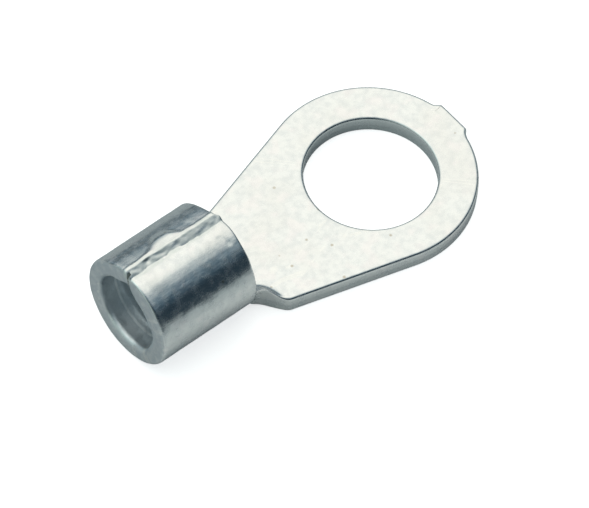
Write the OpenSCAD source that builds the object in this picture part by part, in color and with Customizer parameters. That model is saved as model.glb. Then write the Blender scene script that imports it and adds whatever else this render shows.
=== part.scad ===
// Bare ring terminal for a stranded wire and a threaded stud, stamped from one tinned copper sheet.
// The flat tongue lies on Z = 0 with the centre of the stud hole at the origin, and points along +X.
// Behind the tongue the sheet curls up through a short neck and rolls into the wire barrel. The two
// edges of the rolled sheet meet in a brazed butt seam at the top. The barrel's mouth faces -X.

/* [Sheet] */
// Thickness of the sheet
sheet_t = 1; // [0.85:0.05:1.15]
// Rounding that the punch leaves along the upper edges of the blank
edge_r = 0.15; // [0.05:0.05:0.3]

/* [Ring] */
// Diameter of the hole for the stud
stud_hole_d = 6.5; // [5.3:0.1:7]
// Width across the ring
ring_w = 10.4; // [9.8:0.1:12]
// Angle between each side of the tongue and the middle line
taper_angle = 16; // [12:0.5:18]

/* [Carrier tab] */
// Width of the sheared stub that held the blank in its strip
tab_w = 1.9; // [1:0.1:3]
// How far the stub's upper edge stands out of the ring
tab_out = 0.14; // [0.1:0.02:0.5]
// How far the stub's torn lower edge stands out beyond its upper edge
tab_tear = 0.12; // [0:0.02:0.2]
// Distance of the stub from the middle line, toward +Y
tab_y = 0.15; // [-0.6:0.05:0.6]

/* [Barrel] */
// Distance from the centre of the stud hole to the mouth of the barrel
stud_to_mouth = 15.3; // [14:0.1:17]
// Length of the barrel
barrel_len = 5.85; // [4.5:0.1:6.5]
// Bore of the barrel
barrel_bore_d = 3.7; // [3:0.1:4.3]
// Rounding of the mouth's outer edge
mouth_edge_r = 0.2; // [0.05:0.05:0.35]
// Rounding of the bore's edge at the mouth, which leads the strands in
lead_in_r = 0.25; // [0.05:0.05:0.4]

/* [Seam] */
// Angle on each side of the top over which the sheet's edges stay flat
flat_angle = 30; // [20:1:38]
// Distance of the seam from the top line, toward +Y
seam_y = 0.2; // [-0.2:0.05:0.3]
// How far the edge on the -Y side is pressed below the other one
lip_step = 0.3; // [0.1:0.05:0.4]
// Width of the round valley that the braze leaves along the seam
valley_w = 0.3; // [0.2:0.05:0.4]

/* [Neck] */
// Length over which the flat sheet curls up into the barrel
neck_len = 2; // [1.4:0.1:2.4]
// Width of the blank where the neck is narrowest
neck_w = 4.7; // [3.8:0.1:5.2]

/* [Hidden] */
$fn = 96;
stud_hole_r = stud_hole_d / 2;
ring_r = ring_w / 2;
bore_r = barrel_bore_d / 2;
barrel_r = bore_r + sheet_t;
barrel_end = barrel_len - stud_to_mouth;
neck_start = barrel_end + neck_len;
// Length by which joined bodies run into each other
lap = 0.3;
// Depth at which the neck's loft lies under the skins of the tongue and the barrel wall
skin = 0.02;
// Share of the neck's length at which the blank reaches its narrowest width
waist_share = 0.85;
// Share of the neck's length over which the sheet stays flat before it curls
flat_share = 0.3;
// Stations along the neck's loft, and steps across each one
stations = 14;
steps = 16;

// What a rounding of radius r takes off a square corner that stands at the origin
module corner_nick(r) {
    difference() {
        translate([-lap, -lap])
            square(lap + r);
        translate([r, r])
            circle(r);
    }
}

// Half the width of the straight-sided tongue at x
function flank_y(x) = (ring_r + x * sin(taper_angle)) / cos(taper_angle);

// Outline of the flat blank: the ring, and the flanks that leave it as tangents
module tongue_outline() {
    touch = ring_r * [-sin(taper_angle), cos(taper_angle)];
    corner = [neck_start, flank_y(neck_start)];
    circle(ring_r);
    polygon([touch, corner, [corner.x, -corner.y], [touch.x, -touch.y], [ring_r / 2, 0]]);
}

// Roll-over of the ring's upper edge, around the arc between the two flanks
module ring_edge_cut() {
    rotate(-90 - taper_angle)
        rotate_extrude(angle = 180 + 2 * taper_angle)
            translate([ring_r, sheet_t])
                rotate(180)
                    corner_nick(edge_r);
}

// Roll-over of the upper edge along the flank on the +Y side
module flank_edge_cut() {
    run = ring_r * tan(taper_angle) - neck_start / cos(taper_angle);
    rotate(taper_angle)
        translate([0, ring_r, sheet_t])
            rotate([90, 0, -90])
                linear_extrude(run)
                    mirror([0, 1])
                        corner_nick(edge_r);
}

// Roll-over of the stud hole's upper edge
module hole_edge_cut() {
    rotate_extrude()
        translate([stud_hole_r, sheet_t])
            mirror([0, 1])
                corner_nick(edge_r);
}

// The stub, rooted in the ring and sheared at a slant
module carrier_tab() {
    root = -2 * lap;
    translate([ring_r, tab_y + tab_w / 2, 0])
        rotate([90, 0, 0])
            linear_extrude(tab_w)
                polygon([[root, 0], [tab_out + tab_tear, 0], [tab_out, sheet_t], [root, sheet_t]]);
}

module tongue() {
    difference() {
        linear_extrude(sheet_t)
            tongue_outline();
        translate([0, 0, -lap])
            cylinder(r = stud_hole_r, h = sheet_t + 2 * lap);
        hole_edge_cut();
        ring_edge_cut();
        flank_edge_cut();
        mirror([0, 1, 0])
            flank_edge_cut();
    }
    carrier_tab();
}

// The neck is a loft whose sections are the sheet itself, bent more and more on its way back
function limit(s) = min(1, max(0, s));
function ease(s) = (1 - cos(180 * limit(s))) / 2;
function way(x) = (neck_start - x) / neck_len;
function half_blank(x) =
    let (waist = ease(way(x) / waist_share))
    (1 - waist) * flank_y(max(x, barrel_end)) + waist * neck_w / 2;
function bend(x) = ease((way(x) - flat_share) / (1 - flat_share)) / barrel_r;

// Point of the bent sheet at station x, u along its underside from the middle and h above that
function on_sheet(x, u, h) =
    let (k = bend(x), a = k * u * 180 / PI)
    k < 0.0001 ? [x, u, h] : [x, sin(a) * (1 / k - h), (1 - cos(a)) / k + h * cos(a)];

// Section of the sheet as distances [u, h], along the underside and back over the upper side
function sheet_section(x) =
    let (w = half_blank(x) - skin, t = sheet_t - skin, r = edge_r, c = edge_r * (1 - cos(45)))
    concat(
        [for (i = [0 : steps]) [w * (2 * i / steps - 1), skin]],
        [[w, t - r], [w - c, t - c]],
        [for (i = [0 : steps]) [(w - r) * (1 - 2 * i / steps), t]],
        [[c - w, t - c], [-w, t - r]]
    );

// Faces that close the loft at its first or last section: strips across the sheet and its two edges
function end_faces(first) =
    let (n = 2 * steps + 6, over = n - 3)
    concat(
        [for (i = [0 : steps - 1]) [first + i, first + i + 1, first + over - i - 1, first + over - i]],
        [[first + steps, first + steps + 1, first + steps + 2, first + steps + 3]],
        [[first + over, first + over + 1, first + over + 2, first]]
    );

function turned(face) = [for (j = [len(face) - 1 : -1 : 0]) face[j]];

module neck() {
    n = 2 * steps + 6;
    length = neck_len + 2 * lap;
    xs = [for (i = [0 : stations]) neck_start + lap - length * i / stations];
    points = [for (x = xs) for (p = sheet_section(x)) on_sheet(x, p.x, p.y)];
    sides = [for (i = [0 : stations - 1], j = [0 : n - 1])
        [i * n + j, i * n + (j + 1) % n, (i + 1) * n + (j + 1) % n, (i + 1) * n + j]];
    ends = concat([for (f = end_faces(0)) turned(f)], end_faces(stations * n));
    polyhedron(points, concat(sides, ends));
}

// Lengthwise section of the barrel's wall: x away from the barrel's axis, y along it
module wall_section() {
    translate([bore_r, 0])
        difference() {
            square([sheet_t, barrel_len]);
            corner_nick(edge_r);
            translate([0, barrel_len])
                mirror([0, 1])
                    corner_nick(lead_in_r);
            translate([sheet_t, 0])
                mirror([1, 0])
                    corner_nick(edge_r);
            translate([sheet_t, barrel_len])
                rotate(180)
                    corner_nick(mouth_edge_r);
        }
}

// Edge of the rolled sheet that stays flat, from where it leaves the round as a tangent to past the
// seam. The barrel stands on its inner end here and in the next two modules, with its top toward +X
module flat_edge() {
    reach = barrel_r * tan(flat_angle) + 2 * lap;
    rotate(flat_angle)
        rotate([90, 0, 0])
            linear_extrude(reach)
                wall_section();
}

// Everything on the +Y side of the seam
module beyond_seam() {
    translate([0, seam_y, -lap])
        cube([2 * barrel_r, 2 * barrel_r, barrel_len + 2 * lap]);
}

module rolled_sheet() {
    crest = (barrel_r - seam_y * sin(flat_angle)) / cos(flat_angle);
    lip = crest - lip_step;
    height = barrel_len + 2 * lap;
    rotate(flat_angle)
        rotate_extrude(angle = 360 - 2 * flat_angle)
            wall_section();
    intersection() {
        flat_edge();
        beyond_seam();
    }
    difference() {
        mirror([0, 1, 0])
            flat_edge();
        beyond_seam();
        translate([lip, -barrel_r, -lap])
            cube([barrel_r, barrel_r + seam_y, height]);
        translate([lip, seam_y - valley_w / 2, -lap])
            cylinder(d = valley_w, h = height);
    }
}

module barrel() {
    translate([barrel_end, 0, barrel_r])
        rotate([0, -90, 0])
            rolled_sheet();
}

module ring_terminal() {
    color("lightgray") {
        tongue();
        neck();
        barrel();
    }
}

ring_terminal();
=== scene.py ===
import math

import bpy
import numpy as np
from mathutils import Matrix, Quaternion, Vector, noise


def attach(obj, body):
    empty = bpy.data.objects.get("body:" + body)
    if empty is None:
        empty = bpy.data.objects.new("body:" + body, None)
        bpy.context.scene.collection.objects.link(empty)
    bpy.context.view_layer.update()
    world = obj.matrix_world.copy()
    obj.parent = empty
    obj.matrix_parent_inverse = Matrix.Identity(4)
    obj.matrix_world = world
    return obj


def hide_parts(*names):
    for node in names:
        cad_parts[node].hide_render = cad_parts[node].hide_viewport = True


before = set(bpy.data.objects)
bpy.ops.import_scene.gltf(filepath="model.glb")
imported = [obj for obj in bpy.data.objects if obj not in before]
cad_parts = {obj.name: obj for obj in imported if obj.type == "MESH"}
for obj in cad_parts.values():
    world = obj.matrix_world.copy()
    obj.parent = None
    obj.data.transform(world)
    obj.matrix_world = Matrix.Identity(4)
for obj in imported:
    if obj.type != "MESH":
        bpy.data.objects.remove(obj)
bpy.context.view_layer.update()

# The stamped blank: tongue, ring and neck, punched from a sheet of soft copper.
# The punch rolls its upper edges over, shears the upper part of its walls bright and tears the rest
# away a little inside them. Sizes are in mm, from the middle of the stud hole and the underside.
MM = 0.001
sheet_t = 1.0
ring_r = 5.195
hole_r = 3.25
flank_angle = {1: 17.0, -1: 15.3}
neck_start = -7.65
neck_length = 1.3
barrel_end = -9.45
neck_half = 2.12
# Rim that the die lifts along the neck's upper edges
rim_start = -7.85
rim_run = 0.7
rim_width = 0.75
rim_height = 0.41
rim_hollow = 1.1
rim_sharpness = 0.94
# Shares of the neck where its underside starts to round and its upper face joins the barrel
round_from = 0.3
merge_from = 0.7
merge_run = 0.25
# Barrel that the neck runs into
barrel_r = 2.85
bore_r = 1.85
corner_r = 0.35
# Edges that the punch leaves
roll_over = 0.18
burr_round = 0.03
tear_share = 0.4
tear_back = 0.02
# Hidden root of the blank, and how far its faces stay inside the sheet's full thickness
root_x = barrel_end - 0.2
skin = 0.015
# Steps along the outline, in degrees on the ring and in mm elsewhere
tab_start = -13.3
turn_step = 1.2
flank_step = 0.12
neck_step = 0.06
edge_step = 0.11
across = 46


def ease(s):
    """Soft way from 0 to 1 for s from 0 to 1."""
    return (1 - math.cos(math.pi * min(1.0, max(0.0, s)))) / 2


def flank(x, side):
    """Half the width of the tongue at x, along the straight flank of that side."""
    a = math.radians(flank_angle[side])
    return (ring_r + x * math.sin(a)) / math.cos(a)


def half_blank(x, side):
    """Half the width of the blank behind the tongue, down to the waist and out into the barrel."""
    waist = ease((neck_start - x) / neck_length)
    return (1 - waist) * flank(max(x, barrel_end), side) + waist * neck_half


def on_ring(a):
    """Point of the ring's round outline at a degrees from the tip."""
    return ring_r * math.cos(math.radians(a)), ring_r * math.sin(math.radians(a))


def outline():
    """Corners of the blank seen from above, counter-clockwise from the sheared carrier tab. Behind the
    neck it ends in a root that stays hidden in the barrel's wall."""
    points = [(5.36, 0.6), (5.35, 0.98), (5.31, 1.05), (5.19, 1.14), (5.05, 1.27)]
    first = math.degrees(math.atan2(points[-1][1], points[-1][0]))
    last = -90 - flank_angle[-1]
    for a in np.arange(first + turn_step, 90 + flank_angle[1], turn_step):
        points.append(on_ring(a))
    touch = -ring_r * math.sin(math.radians(flank_angle[1]))
    for x in np.arange(touch, neck_start, -flank_step):
        points.append((x, flank(x, 1)))
    for x in np.arange(neck_start, root_x + 0.1, -neck_step):
        points.append((x, half_blank(x, 1)))
    points += [(root_x - 0.2, neck_half - 0.25), (root_x - 0.3, neck_half - 0.6)]
    points += [(root_x - 0.3, 0.6 - neck_half), (root_x - 0.2, 0.25 - neck_half)]
    for x in np.arange(root_x + 0.1, neck_start, neck_step):
        points.append((x, -half_blank(x, -1)))
    touch = -ring_r * math.sin(math.radians(flank_angle[-1]))
    for x in np.arange(neck_start, touch, flank_step):
        points.append((x, -flank(x, -1)))
    for a in np.arange(last, tab_start, turn_step):
        points.append(on_ring(a))
    points += [(5.17, -1.0), (5.30, -0.88), (5.36, -0.8), (5.365, -0.7), (5.36, 0.0)]
    return np.array(points)


def even(points, step):
    """The closed line again, with its corners kept and its long pieces cut to about step."""
    out = []
    for p, q in zip(points, np.roll(points, -1, axis=0)):
        cuts = max(1, int(round(np.linalg.norm(q - p) / step)))
        out += [p + (q - p) * i / cuts for i in range(cuts)]
    return np.array(out)


def outward(line):
    """Outward normal at every point of a closed counter-clockwise line."""
    run = np.roll(line, -1, axis=0) - np.roll(line, 1, axis=0)
    n = np.stack([run[:, 1], -run[:, 0]], axis=1)
    return n / np.linalg.norm(n, axis=1)[:, None]


def bent(u, width, turn):
    """A flat strip bent evenly from the middle line out to u. At the edge it has turned by turn."""
    half_turn = turn * u / width / 2
    chord = u * np.sinc(half_turn / np.pi)
    return chord * np.cos(half_turn), chord * np.sin(half_turn)


def rim_begun(x):
    """How far the lifted rim has grown at x, from 0 to 1."""
    begun = np.clip((rim_start - x) / rim_run, 0, 1)
    return begun**2 * (3 - 2 * begun)


def curl(x, u, h):
    """The flat blank bent up into the barrel: u runs across it and h is the height in the sheet.
    The die first lifts a rim along the edges of the upper face. The underside follows as a round."""
    way = np.clip((neck_start - x) / (neck_start - barrel_end), 0, 1)
    near = np.clip(x - barrel_end, 0, corner_r)
    wider = corner_r - np.sqrt(corner_r**2 - (corner_r - near) ** 2)
    width = np.array([half_blank(v, 1) for v in x])
    u = u + np.minimum(1, np.abs(u) / width) ** 4 * np.sign(u) * wider
    full_turn = neck_half / barrel_r
    merged = np.clip((way - merge_from) / merge_run, 0, 1)
    rounded = np.clip((way - round_from) / (1 - round_from), 0, 1)
    upper_y, upper_z = bent(u, width, full_turn * merged)
    under_y, under_z = bent(u, width, full_turn * rounded**2)
    outer = np.clip(1 - (width - np.abs(u)) / rim_width, 0, 1) ** rim_hollow
    upper_z += rim_height * (1 - merged) * rim_begun(x) * outer
    share = h / sheet_t
    y = under_y + (upper_y - under_y) * share
    z = under_z + (sheet_t + upper_z - under_z) * share
    return np.stack([x, y, z], axis=1)


edge = even(outline(), edge_step)
edge_out = outward(edge)
angle = np.arctan2(edge[:, 1], edge[:, 0])
hole = hole_r * np.stack([np.cos(angle), np.sin(angle)], axis=1)
hole_out = hole / hole_r
rolled = roll_over * (1 - rim_sharpness * rim_begun(edge[:, 0]))[:, None]
rings = []
under = skin
top = sheet_t - skin
tear_top = tear_share * sheet_t


def ring_at(share, inset, height, hole_inset=0.0):
    """One loop of the blank's surface, between the hole (share 0) and the outline (share 1)."""
    inner = hole + hole_out * hole_inset
    outer = edge - edge_out * inset
    rings.append((inner + (outer - inner) * share, height))


# The rings run out over the underside, up the torn and sheared wall, over the rolled edge, back over
# the upper face and down the wall of the hole.
for share in np.linspace(0, 1, across):
    ring_at(share, tear_back + burr_round, under, tear_back + burr_round)
for a in (30, 60, 90):
    a = math.radians(a)
    ring_at(1, tear_back + burr_round * (1 - math.sin(a)), under + burr_round * (1 - math.cos(a)))
ring_at(1, tear_back * 0.9, tear_top * 0.55)
ring_at(1, tear_back * 0.7, tear_top * 0.95)
ring_at(1, 0.0, tear_top * 1.1)
for z in np.linspace(tear_top * 1.3, top - roll_over, 4):
    ring_at(1, 0.0, z)
for a in (18, 36, 54, 72, 90):
    a = math.radians(a)
    ring_at(1, rolled * (1 - math.cos(a)), top - rolled[:, 0] * (1 - math.sin(a)))
for share in 1 - np.linspace(0, 1, across)[1:] ** 1.3:
    ring_at(share, rolled, top, roll_over)
for a in (72, 54, 36, 18, 0):
    a = math.radians(a)
    ring_at(0, 0, top - roll_over * (1 - math.sin(a)), roll_over * (1 - math.cos(a)))
for z in np.linspace(top - roll_over, tear_top * 1.1, 5)[1:]:
    ring_at(0, 0, z, 0.0)
ring_at(0, 0, tear_top * 0.9, tear_back * 0.7)
ring_at(0, 0, tear_top * 0.5, tear_back * 0.9)
for a in (90, 60, 30):
    a = math.radians(a)
    ring_at(0, 0, under + burr_round * (1 - math.cos(a)), tear_back + burr_round * (1 - math.sin(a)))

around = len(edge)
points = []
for line, height in rings:
    points += curl(line[:, 0], line[:, 1], height * np.ones(around)).tolist()
faces = []
for i in range(len(rings)):
    j = (i + 1) % len(rings)
    for k in range(around):
        m = (k + 1) % around
        faces.append((i * around + k, i * around + m, j * around + m, j * around + k))
blank_mesh = bpy.data.meshes.new("blank")
blank_mesh.from_pydata(points, [], faces)
blank = bpy.data.objects.new("blank", blank_mesh)
bpy.context.scene.collection.objects.link(blank)

# The wire barrel, rolled from the back of the same copper sheet.
# Its two edges stay nearly flat and meet off the middle. The -Y edge is pressed down and the other
# one stands over it as a lip. The braze that closes the butt fills the step unevenly.
mouth_x = -15.3
mouth_slant = 0.16
mouth_round = 0.2
lead_in = 0.27
end_round = 0.12
flat_angle = math.radians(30)
press_angle = math.radians(40)
# Seam with its step, and the crest of the lip over it
seam_y = 0.3
seam_back = 0.06
step_angle = math.radians(31.5)
crest_round = 0.14
crest_drop = 0.06
crest_arc = -35, 22
lip_crown = 0.02
# Patch hammered flat beside the lip, and the lumps between it and the mouth
patch_begins = -14.0, -12.6
patch_ends = -12.1, -11.3
patch_reach = 0.85
patch_height = 0.105
lumps_begin = -13.9, -14.4
lump_height = 0.04
settle_run = 0.9
# Marks: a pinhole, a crease from the die and a ring scored inside the bore
pit_x, pit_y, pit_r, pit_depth = -14.1, 0.15, 0.12, 0.07
crease = (-10.22, -0.79), (-9.85, -1.35)
crease_width, crease_deep = 0.08, 0.05
ridge_x, ridge_r, ridge_height = mouth_x + 1.05, 0.06, 0.04
# Pressed edge, from the round up to its flat
plateau_y = -0.5
plateau_z = 2.87
plateau_handle = 0.42
round_handle = 0.52
mouth_dip = 0.05
# Uneven mouth, with the butt open at its edge
bell_run = -13.6, -15.2
bell_left, bell_right, bell_bottom = -0.2, 0.08, 0.2
flare_deep, flare_wide = 0.1, 0.2
butt_open = 0.4
butt_hollow = 0.05
# End over the neck, which is free above and runs into the sheet below, in degrees from the bottom
free_arc = 40, 54
foot_arc = 78, 52
end_back = 0.08
end_foot = 0.32
round_start, round_step = 31.5, 1.5
flat_y = barrel_r * math.sin(flat_angle)
press_y = -barrel_r * math.sin(press_angle)
press_z = barrel_r * math.cos(press_angle)


def smooth(a, b, v):
    """0 below a, 1 above b, and a soft slope between them."""
    t = min(1.0, max(0.0, (v - a) / (b - a)))
    return t * t * (3 - 2 * t)


def rough(x, y, z, size, seed=0.0):
    """Soft random value between about -1 and 1, with hills about as wide as size."""
    return noise.noise(Vector((x / size + seed, y / size, z / size)))


def pit(x, y):
    """Depth of the one pinhole in the braze."""
    return pit_depth * math.exp(-((x - pit_x) ** 2 + (y - pit_y) ** 2) / pit_r**2)


def crease_depth(x, y):
    """Depth of the short crease that the die left across the -Y edge near its end."""
    (x0, y0), (x1, y1) = crease
    run = math.hypot(x1 - x0, y1 - y0)
    along = ((x - x0) * (x1 - x0) + (y - y0) * (y1 - y0)) / run
    aside = ((x - x0) * (y1 - y0) - (y - y0) * (x1 - x0)) / run
    ends = smooth(-0.1, 0.1, along) * (1 - smooth(run - 0.1, run + 0.1, along))
    return crease_deep * ends * math.exp(-((aside / crease_width) ** 2))


def roof(y, r):
    """Height of the flat edges above the axis, for the outside or the bore."""
    return (r - abs(y) * math.sin(flat_angle)) / math.cos(flat_angle)


def crest(x):
    """Middle of the rounding on the lip's crest, as (y, z)."""
    y = seam_y - seam_back * smooth(-12.7, -11.5, x)
    z = roof(y, barrel_r) - crest_drop - crest_round - 0.03 * abs(rough(x, 1, 0, 0.5, 2.0))
    return y + 0.05 * rough(x, 0, 0, 0.9, 4.0) + 0.02 * rough(x, 0, 0, 0.25, 9.0), z


def lip(x):
    """The +Y edge from its crest to the round, with the patch that was hammered flat beside it."""
    seam, middle_z = crest(x)
    reach = 0.2 + patch_reach * smooth(*patch_begins, x) * (1 - smooth(*patch_ends, x))
    lumps = smooth(*lumps_begin, x)
    out = []
    for a in np.linspace(*crest_arc, 5):
        a = math.radians(a)
        out.append((seam + crest_round * math.sin(a), middle_z + crest_round * math.cos(a)))
    y0, z0 = out[-1]
    for y in np.linspace(y0, flat_y, 26)[1:]:
        swell = 0.0
        if y < seam + reach:
            swell = patch_height * reach * math.sin(math.pi * (y - seam) / reach) ** 1.5
        swell += lip_crown * math.sin(math.pi * (y - y0) / (flat_y - y0))
        swell += lump_height * lumps * smooth(0.7, 0.3, y) * rough(x, y, 0, 0.3)
        settle = (z0 - roof(y0, barrel_r)) * smooth(y0 + settle_run, y0, y)
        out.append((y, roof(y, barrel_r) + swell + settle - pit(x, y)))
    return out


def pressed(x):
    """The -Y edge from the round to the foot of the step, and the braze that slopes up to the lip."""
    seam, middle_z = crest(x)
    level = plateau_z + 0.02 * rough(x, 2, 0, 1.3) - mouth_dip * smooth(-14.6, -15.3, x)
    p0 = np.array([press_y, press_z])
    p3 = np.array([plateau_y, level])
    p1 = p0 + round_handle * np.array([math.cos(press_angle), math.sin(press_angle)])
    p2 = p3 - np.array([plateau_handle, 0.0])
    out = []
    for t in np.linspace(0, 1, 24):
        pull = (1 - t) ** 3, 3 * t * (1 - t) ** 2, 3 * t**2 * (1 - t), t**3
        y, z = pull[0] * p0 + pull[1] * p1 + pull[2] * p2 + pull[3] * p3
        out.append((y, z - crease_depth(x, y)))
    head_y = seam - crest_round * math.sin(step_angle)
    head_z = middle_z + crest_round * math.cos(step_angle)
    foot_z = level - 0.03 - 0.02 * rough(x, 5, 0, 0.4)
    foot_y = head_y - (head_z - foot_z) / math.tan(step_angle) + 0.04 * rough(x, 7, 0, 0.5)
    for share, drop in ((0.35, 0.1), (0.65, 0.5), (0.85, 0.85), (1.0, 1.0)):
        out.append((plateau_y + (foot_y - plateau_y) * share, level + (foot_z - level) * drop))
    for share in np.linspace(0, 1, 11)[1:-1]:
        y = foot_y + (head_y - foot_y) * share
        z = foot_z + (head_z - foot_z) * share - pit(x, y)
        wave = math.sin(math.pi * share)
        out.append((y, z + wave * (0.03 * rough(x, y, 3, 0.22) + 0.02 * rough(x, y, 6, 0.5))))
    return out


def outside(x):
    """Section of the barrel's outside at x, round from the lip's crest over +Y, as (y, z) from the axis."""
    line = lip(x)
    for d in np.arange(round_start, 360 - math.degrees(press_angle), round_step):
        a = math.radians(d)
        line.append((barrel_r * math.sin(a), barrel_r * math.cos(a)))
    return np.array(line + pressed(x))


sample = outside(-12.0)
count = len(sample)
lip_count = len(lip(-12.0))
press_count = len(pressed(-12.0))


def inside(x, skin_line):
    """Section of the bore at x, point for point with the outside."""
    line = np.zeros((count, 2))
    first, last = lip_count, count - press_count
    line[first : last + 1] = skin_line[first : last + 1] * bore_r / barrel_r
    start = math.atan2(line[last, 0], line[last, 1])
    end = math.atan2(line[first, 0], line[first, 1])
    loose = list(range(last + 1, count)) + list(range(0, first))
    near_mouth = smooth(*bell_run, x)
    for n, i in enumerate(loose):
        a = start + (end - start) * (n + 1) / (len(loose) + 1)
        over = max(0.0, flat_angle - abs(a))
        r = bore_r / math.cos(over)
        off = a - 0.05
        if off > 0:
            r += butt_hollow * max(0.0, 1 - off / 0.5)
        else:
            r += butt_hollow * math.exp(-((off / 0.15) ** 2))
        line[i] = (r * math.sin(a), r * math.cos(a))
    ridge = ridge_height * math.exp(-(((x - ridge_x) / ridge_r) ** 2))
    for i in range(count):
        a = math.atan2(line[i, 0], line[i, 1])
        belled = bell_left * near_mouth * smooth(-0.1, -0.4, a) * smooth(-1.5, -0.9, a)
        belled += bell_right * near_mouth * smooth(0.3, 0.65, a) * smooth(1.5, 1.05, a)
        belled += bell_bottom * near_mouth * (smooth(0.9, 1.6, a) + smooth(-1.9, -2.5, a))
        line[i] *= 1 + (belled - ridge) / bore_r
    return line


# The loop runs round the wall, out along the outside and back along the bore. Each stop holds the
# share of the edge's rounding that it goes into the wall, its side, its place along the barrel and how
# far it stands past that place.
loop = []
for s in np.linspace(0, 1, 48):
    loop.append((0.0, "outside", s, 0.0))
for a in (22, 45, 68, 90):
    a = math.radians(a)
    loop.append((1 - math.cos(a), "outside", 1.0, math.sin(a)))
for a in (90, 68, 45, 22, 0):
    a = math.radians(a)
    loop.append((1 - math.cos(a), "bore", 1.0, math.sin(a)))
for s in np.linspace(1, 0, 56)[1:] ** 1.3:
    loop.append((0.0, "bore", s, 0.0))
for a in (10, 20, 30, 40, 50, 60, 70, 80, 90):
    a = math.radians(a)
    loop.append((1 - math.cos(a), "bore", 0.0, -math.sin(a)))
for a in (90, 72, 54, 36, 18):
    a = math.radians(a)
    loop.append((1 - math.cos(a), "outside", 0.0, -math.sin(a)))

points = []
butt = count - 4
for depth, side, s, over in loop:
    skin_line = outside(mouth_x + (barrel_end - mouth_x) * s)
    bore_line = inside(mouth_x + (barrel_end - mouth_x) * s, skin_line)
    way_in = bore_line - skin_line
    way_in = way_in / np.linalg.norm(way_in, axis=1)[:, None]
    for i in range(count):
        from_bottom = abs(math.degrees(math.atan2(skin_line[i, 0], -skin_line[i, 1])))
        free = smooth(*free_arc, from_bottom)
        back_r = skin + (end_round - skin) * free
        a = math.atan2(bore_line[i, 0], bore_line[i, 1])
        flare = smooth(1.9, 2.5, a) + smooth(-2.6, -3.0, a)
        mouth_r = mouth_round if side == "outside" else lead_in + flare_deep * flare
        r = back_r if s == 1.0 else mouth_r
        base, sign = (skin_line[i], 1) if side == "outside" else (bore_line[i], -1)
        widened = flare_wide * flare if side == "bore" and s == 0.0 else 0.0
        y, z = base + way_in[i] * sign * depth * (r + widened)
        bump = 0.012 * rough(s * 5.8, y, z, 0.9) + 0.006 * rough(s * 5.8, y, z, 0.4)
        bump *= free if side == "outside" else 0.3
        y, z = y * (1 - bump / barrel_r), z * (1 - abs(bump) / barrel_r)
        end_x = barrel_end - end_back * free + end_foot * smooth(*foot_arc, from_bottom)
        end_x -= 0.2 * free * smooth(0.0, 0.25, y) * smooth(0.5, 1.5, z)
        end_x += 0.02 * free * smooth(-0.2, -1.2, y) * smooth(1.2, 2.0, z)
        end_x += 0.015 * free * rough(y, z, 3, 0.7)
        start_x = mouth_x + mouth_slant * (z + barrel_r) / (2 * barrel_r)
        x = start_x + mouth_r + (end_x - back_r - start_x - mouth_r) * s + over * r
        if s == 0.0 and over < 0:
            gap = max(0.0, 1 - abs(i - butt) / 1.8)
            x += butt_open * gap + 0.01 * rough(x, y, z, 0.5)
        points.append((max(x, mouth_x), y, z + barrel_r))
stop_count = len(loop)
faces = []
for k in range(stop_count):
    m = (k + 1) % stop_count
    for i in range(count):
        j = (i + 1) % count
        faces.append((k * count + i, m * count + i, m * count + j, k * count + j))
roll_mesh = bpy.data.meshes.new("roll")
roll_mesh.from_pydata(points, [], faces)
roll = bpy.data.objects.new("roll", roll_mesh)
bpy.context.scene.collection.objects.link(roll)

# The finished stamping, one piece of copper sheet.
# The tongue runs on into the barrel with no joint, so the two meshes become one closed skin.
for ob in (blank, roll):
    bpy.context.view_layer.objects.active = ob
    ob.data.validate()
joined = blank.modifiers.new("one_sheet", "BOOLEAN")
joined.operation = "UNION"
joined.solver = "MANIFOLD"
joined.object = roll
graph = bpy.context.evaluated_depsgraph_get()
whole = bpy.data.meshes.new_from_object(blank.evaluated_get(graph))
whole.name = "terminal_sheet"
bpy.data.objects.remove(blank)
bpy.data.objects.remove(roll)
terminal = bpy.data.objects.new("terminal_sheet", whole)
bpy.context.scene.collection.objects.link(terminal)
for v in whole.vertices:
    v.co *= MM
whole.shade_smooth()
whole.set_sharp_from_angle(angle=math.radians(38))

# Tin plating over the copper.
# The stamped and rolled part is tinned last, so the skin is frosted in small spots, with pinholes and
# tan flux specks. It is matt inside the barrel, dull on the cut mouth and rubbed bright on the edges.
tin = bpy.data.materials.new("tin_plating")
tin.use_nodes = True
nodes, links = tin.node_tree.nodes, tin.node_tree.links
shader = nodes["Principled BSDF"]
shader.inputs["Metallic"].default_value = 1.0
shader.inputs["Specular Tint"].default_value = (0.72, 0.74, 0.76, 1)
place = nodes.new("ShaderNodeTexCoord")
surface = nodes.new("ShaderNodeNewGeometry")


def spots(size, detail):
    """Soft random spots about size mm wide, from 0 to 1."""
    field = nodes.new("ShaderNodeTexNoise")
    field.inputs["Scale"].default_value = 1 / (size * MM)
    field.inputs["Detail"].default_value = detail
    links.new(place.outputs["Object"], field.inputs["Vector"])
    return field.outputs[0]


def ranged(value, low, high, start=0.0, end=1.0):
    """The value brought from low and high to start and end, with a soft slope."""
    node = nodes.new("ShaderNodeMapRange")
    node.interpolation_type = "SMOOTHSTEP"
    for name, number in (("From Min", low), ("From Max", high), ("To Min", start), ("To Max", end)):
        node.inputs[name].default_value = number
    links.new(value, node.inputs["Value"])
    return node.outputs[0]


def figure(kind, first, second=0.0):
    """Two values or numbers put together by one sum."""
    node = nodes.new("ShaderNodeMath")
    node.operation = kind
    for socket, value in zip(node.inputs, (first, second)):
        if isinstance(value, (int, float)):
            socket.default_value = value
        else:
            links.new(value, socket)
    return node.outputs[0]


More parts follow.
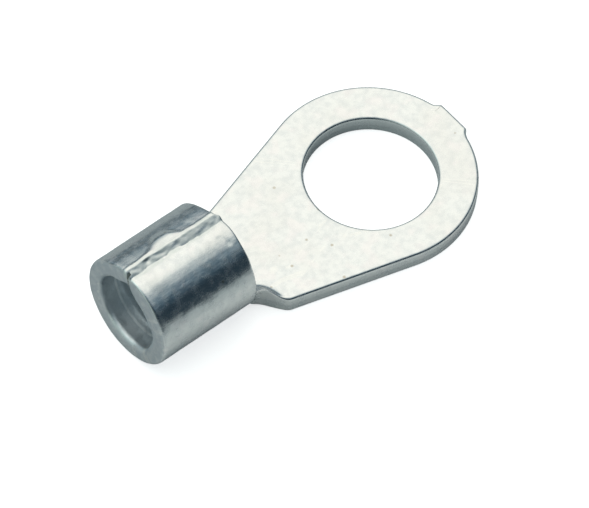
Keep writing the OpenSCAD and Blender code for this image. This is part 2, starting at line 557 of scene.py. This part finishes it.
def tinted(share, first, second):
    """Two colours, or a socket and a colour, mixed by the share."""
    node = nodes.new("ShaderNodeMix")
    node.data_type = "RGBA"
    links.new(share, node.inputs["Factor"])
    for socket, value in ((node.inputs[6], first), (node.inputs[7], second)):
        if isinstance(value, tuple):
            socket.default_value = (*value, 1)
        else:
            links.new(value, socket)
    return node.outputs[2]


axes = nodes.new("ShaderNodeSeparateXYZ")
links.new(place.outputs["Object"], axes.inputs[0])
facing = nodes.new("ShaderNodeSeparateXYZ")
links.new(surface.outputs["Normal"], facing.inputs[0])
across_y = figure("MULTIPLY", axes.outputs["Y"], axes.outputs["Y"])
above = figure("SUBTRACT", axes.outputs["Z"], barrel_r * MM)
from_axis = figure("SQRT", figure("ADD", across_y, figure("MULTIPLY", above, above)))
in_barrel = ranged(axes.outputs["X"], (barrel_end + 0.1) * MM, (barrel_end - 0.1) * MM)
in_bore = figure("MULTIPLY", in_barrel, ranged(from_axis, 2.2 * MM, 2.0 * MM))
on_mouth = ranged(axes.outputs["X"], (mouth_x + 0.5) * MM, (mouth_x + 0.3) * MM)
on_mouth = figure("MULTIPLY", on_mouth, ranged(facing.outputs["X"], -0.6, -0.9))
off_hole = nodes.new("ShaderNodeVectorMath")
off_hole.operation = "MULTIPLY"
off_hole.inputs[1].default_value = (1, 1, 0)
links.new(place.outputs["Object"], off_hole.inputs[0])
hole_distance = nodes.new("ShaderNodeVectorMath")
hole_distance.operation = "LENGTH"
links.new(off_hole.outputs[0], hole_distance.inputs[0])
flat_on = ranged(facing.outputs["Z"], 0.7, 0.4)
on_hole_wall = figure("MULTIPLY", ranged(hole_distance.outputs["Value"], 3.6 * MM, 3.4 * MM), flat_on)
on_braze = figure("MULTIPLY", in_barrel, ranged(axes.outputs["Z"], 5.3 * MM, 5.6 * MM))
off_seam = figure("ABSOLUTE", figure("SUBTRACT", axes.outputs["Y"], 0.03 * MM))
on_braze = figure("MULTIPLY", on_braze, ranged(off_seam, 0.4 * MM, 0.25 * MM))
frost = spots(0.35, 5.0)
cloud = spots(2.6, 2.0)
blush = spots(0.9, 1.0)
grain = spots(0.07, 3.0)
drawn = nodes.new("ShaderNodeVectorMath")
drawn.operation = "MULTIPLY"
drawn.inputs[1].default_value = (0.15, 1, 1)
links.new(place.outputs["Object"], drawn.inputs[0])
streak = nodes.new("ShaderNodeTexNoise")
streak.inputs["Scale"].default_value = 1 / (0.3 * MM)
streak.inputs["Detail"].default_value = 3.0
links.new(drawn.outputs[0], streak.inputs["Vector"])
streaks = figure("MULTIPLY", in_barrel, streak.outputs[0])
off_ridge = figure("ABSOLUTE", figure("SUBTRACT", axes.outputs["X"], ridge_x * MM))
ridge_painted_highlight = figure("MULTIPLY", in_bore, ranged(off_ridge, 0.08 * MM, 0.03 * MM))
worn = ranged(surface.outputs["Pointiness"], 0.53, 0.62)
painted_crease_shade = ranged(surface.outputs["Pointiness"], 0.47, 0.40)
cells = nodes.new("ShaderNodeTexVoronoi")
cells.inputs["Scale"].default_value = 1 / (0.8 * MM)
links.new(place.outputs["Object"], cells.inputs["Vector"])
chosen = nodes.new("ShaderNodeSeparateColor")
links.new(cells.outputs["Color"], chosen.inputs[0])
near_seed = ranged(cells.outputs["Distance"], 0.13, 0.06)
speck = figure("MULTIPLY", near_seed, ranged(chosen.outputs[0], 0.72, 0.76))

colour = tinted(ranged(frost, 0.35, 0.7), (0.80, 0.808, 0.79), (0.735, 0.75, 0.745))
colour = tinted(ranged(cloud, 0.45, 0.75, 0, 0.5), colour, (0.75, 0.74, 0.71))
colour = tinted(ranged(blush, 0.5, 0.7, 0, 0.5), colour, (0.84, 0.80, 0.79))
colour = tinted(figure("MULTIPLY", speck, 0.7), colour, (0.46, 0.40, 0.31))
# Painted shade: the bore's colour is darker and bluer inside the barrel.
colour = tinted(in_bore, colour, (0.60, 0.65, 0.68))
# Painted highlight: a light line of colour along the ring scored inside the bore.
colour = tinted(ridge_painted_highlight, colour, (0.82, 0.85, 0.86))
# Darker colour on the stud hole's wall: partly its torn cut, partly painted shade in the hole.
colour = tinted(on_hole_wall, colour, (0.60, 0.63, 0.63))
cut_share = figure("MULTIPLY", on_mouth, ranged(frost, 0.3, 0.6, 0.5, 1.0))
colour = tinted(cut_share, colour, (0.58, 0.61, 0.63))
braze_share = figure("MULTIPLY", on_braze, ranged(frost, 0.3, 0.6, 0.2, 0.8))
colour = tinted(braze_share, colour, (0.72, 0.75, 0.72))
# Painted shade: the colour is darkened in creases and hollows, where the surface is concave.
colour = tinted(figure("MULTIPLY", painted_crease_shade, 0.6), colour, (0.36, 0.36, 0.34))
colour = tinted(figure("MULTIPLY", worn, 0.5), colour, (0.84, 0.83, 0.79))
links.new(colour, shader.inputs["Base Color"])
matt = ranged(frost, 0.3, 0.7, 0.17, 0.30)
matt = figure("ADD", matt, figure("MULTIPLY", in_bore, 0.28))
matt = figure("ADD", matt, figure("MULTIPLY", on_mouth, 0.12))
matt = figure("ADD", matt, figure("MULTIPLY", on_braze, 0.10))
matt = figure("SUBTRACT", matt, figure("MULTIPLY", worn, 0.05))
links.new(matt, shader.inputs["Roughness"])
height = figure("ADD", frost, figure("MULTIPLY", grain, 0.16))
height = figure("SUBTRACT", height, figure("MULTIPLY", speck, 0.5))
height = figure("ADD", height, figure("MULTIPLY", streaks, 0.9))
relief = nodes.new("ShaderNodeBump")
relief.inputs["Strength"].default_value = 1.0
relief.inputs["Distance"].default_value = 0.008 * MM
links.new(height, relief.inputs["Height"])
links.new(relief.outputs[0], shader.inputs["Normal"])
whole.materials.clear()
whole.materials.append(tin)
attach(terminal, "root")
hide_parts("ring_terminal")

# Camera, from the left and well above, with a long lens.
view_azimuth, view_elevation, view_roll = (math.radians(a) for a in (-42.590, 54.909, 3.335))
aim = Vector((-6.168, -1.629, 1.5)) * MM
distance = 367.15 * MM
back = Vector(
    (
        math.sin(view_azimuth) * math.cos(view_elevation),
        -math.cos(view_azimuth) * math.cos(view_elevation),
        math.sin(view_elevation),
    )
)
camera_data = bpy.data.cameras.new("camera")
camera_data.sensor_width = 36
camera_data.lens = 471.8
camera_data.clip_start = 0.01
camera_data.clip_end = 10
camera = bpy.data.objects.new("camera", camera_data)
camera.rotation_mode = "QUATERNION"
camera.rotation_quaternion = (-back).to_track_quat("-Z", "Y") @ Quaternion((0, 0, 1), view_roll)
camera.location = aim + back * distance
bpy.context.scene.collection.objects.link(camera)
bpy.context.scene.camera = camera

# Pale table that the terminal lies on, a sheet of white paper.
# It is as bright as paper to the eye and grey in the metal, where its colour is a painted pool of light
# that is brightest near the terminal and darker far off, and it keeps the shadow.
table_mesh = bpy.data.meshes.new("table")
table_half = 1.5
table_mesh.from_pydata(
    [(x * table_half, y * table_half, 0) for x, y in ((-1, -1), (1, -1), (1, 1), (-1, 1))],
    [],
    [(0, 1, 2, 3)],
)
table = bpy.data.objects.new("table", table_mesh)
bpy.context.scene.collection.objects.link(table)
paper = bpy.data.materials.new("paper")
paper.use_nodes = True
nodes, links = paper.node_tree.nodes, paper.node_tree.links
sheet = nodes["Principled BSDF"]
spot = nodes.new("ShaderNodeNewGeometry")
squeeze = nodes.new("ShaderNodeVectorMath")
squeeze.operation = "MULTIPLY"
squeeze.inputs[1].default_value = (0.5, 1, 1)
away = nodes.new("ShaderNodeVectorMath")
away.operation = "DISTANCE"
away.inputs[1].default_value = (-3 * MM, -3 * MM, 0)
span = 100 * MM
scaled = nodes.new("ShaderNodeMath")
scaled.operation = "DIVIDE"
scaled.inputs[1].default_value = span
light_pool_ramp = nodes.new("ShaderNodeValToRGB")
links.new(spot.outputs["Position"], squeeze.inputs[0])
links.new(squeeze.outputs[0], away.inputs[0])
links.new(away.outputs["Value"], scaled.inputs[0])
links.new(scaled.outputs[0], light_pool_ramp.inputs[0])
# Painted pool of light: the table's colour is brightest near the terminal and darker far off.
painted_light_pool = [
    (0.045, (0.78, 0.81, 0.82)),
    (0.085, (0.59, 0.63, 0.65)),
    (0.220, (0.53, 0.58, 0.61)),
    (1.000, (0.04, 0.06, 0.08)),
]
while len(light_pool_ramp.color_ramp.elements) < len(painted_light_pool):
    light_pool_ramp.color_ramp.elements.new(0.5)
for element, (where, colour) in zip(light_pool_ramp.color_ramp.elements, painted_light_pool):
    element.position = where
    element.color = (*colour, 1)
sheet.inputs["Roughness"].default_value = 0.9
sheet.inputs["Specular IOR Level"].default_value = 0.1
glow = nodes.new("ShaderNodeEmission")
glow.inputs["Color"].default_value = (1, 1, 1, 1)
glow.inputs["Strength"].default_value = 0.70
both = nodes.new("ShaderNodeAddShader")
seen = nodes.new("ShaderNodeLightPath")
pick = nodes.new("ShaderNodeMixShader")
white = nodes.new("ShaderNodeBsdfDiffuse")
white.inputs["Color"].default_value = (0.80, 0.80, 0.80, 1)
links.new(light_pool_ramp.outputs[0], sheet.inputs["Base Color"])
links.new(white.outputs[0], both.inputs[0])
links.new(glow.outputs[0], both.inputs[1])
links.new(seen.outputs["Is Camera Ray"], pick.inputs[0])
links.new(sheet.outputs[0], pick.inputs[1])
links.new(both.outputs[0], pick.inputs[2])
links.new(pick.outputs[0], nodes["Material Output"].inputs["Surface"])
table_mesh.materials.append(paper)

# Studio: a wide white diffuser overhead, and a dark blue-grey room below it.
# A window on the left adds a soft greenish white on that side.
diffuser_way = (0.15, 0.35, 0.925)
window_way = (-0.93, 0.33, 0.12)
world = bpy.data.worlds.new("studio")
bpy.context.scene.world = world
world.use_nodes = True
nodes, links = world.node_tree.nodes, world.node_tree.links
outward_way = nodes.new("ShaderNodeTexCoord")
toward = nodes.new("ShaderNodeVectorMath")
toward.operation = "DOT_PRODUCT"
toward.inputs[1].default_value = diffuser_way
sky = nodes.new("ShaderNodeValToRGB")
links.new(outward_way.outputs["Generated"], toward.inputs[0])
links.new(toward.outputs["Value"], sky.inputs[0])
side_on = nodes.new("ShaderNodeVectorMath")
side_on.operation = "DOT_PRODUCT"
side_on.inputs[1].default_value = window_way
side_share = nodes.new("ShaderNodeMapRange")
side_share.interpolation_type = "SMOOTHSTEP"
side_share.inputs["From Min"].default_value = 0.45
side_share.inputs["From Max"].default_value = 0.95
side_share.inputs["To Max"].default_value = 0.6
side_light = nodes.new("ShaderNodeMix")
side_light.data_type = "RGBA"
side_light.blend_type = "ADD"
side_light.inputs[7].default_value = (0.80, 0.95, 0.88, 1)
links.new(outward_way.outputs["Generated"], side_on.inputs[0])
links.new(side_on.outputs["Value"], side_share.inputs["Value"])
links.new(side_share.outputs[0], side_light.inputs["Factor"])
links.new(sky.outputs[0], side_light.inputs[6])
links.new(side_light.outputs[2], nodes["Background"].inputs["Color"])
stops = [
    (0.00, (0.022, 0.040, 0.056)),
    (0.15, (0.016, 0.030, 0.044)),
    (0.32, (0.034, 0.068, 0.100)),
    (0.45, (0.155, 0.235, 0.295)),
    (0.62, (0.60, 0.67, 0.68)),
    (0.80, (1.02, 1.05, 1.00)),
    (0.95, (1.17, 1.18, 1.12)),
]
ramp = sky.color_ramp
while len(ramp.elements) < len(stops):
    ramp.elements.new(0.5)
for element, (where, colour) in zip(ramp.elements, stops):
    element.position = where
    element.color = (*colour, 1)

bpy.context.scene.view_settings.view_transform = "Standard"
bpy.context.view_layer.update()
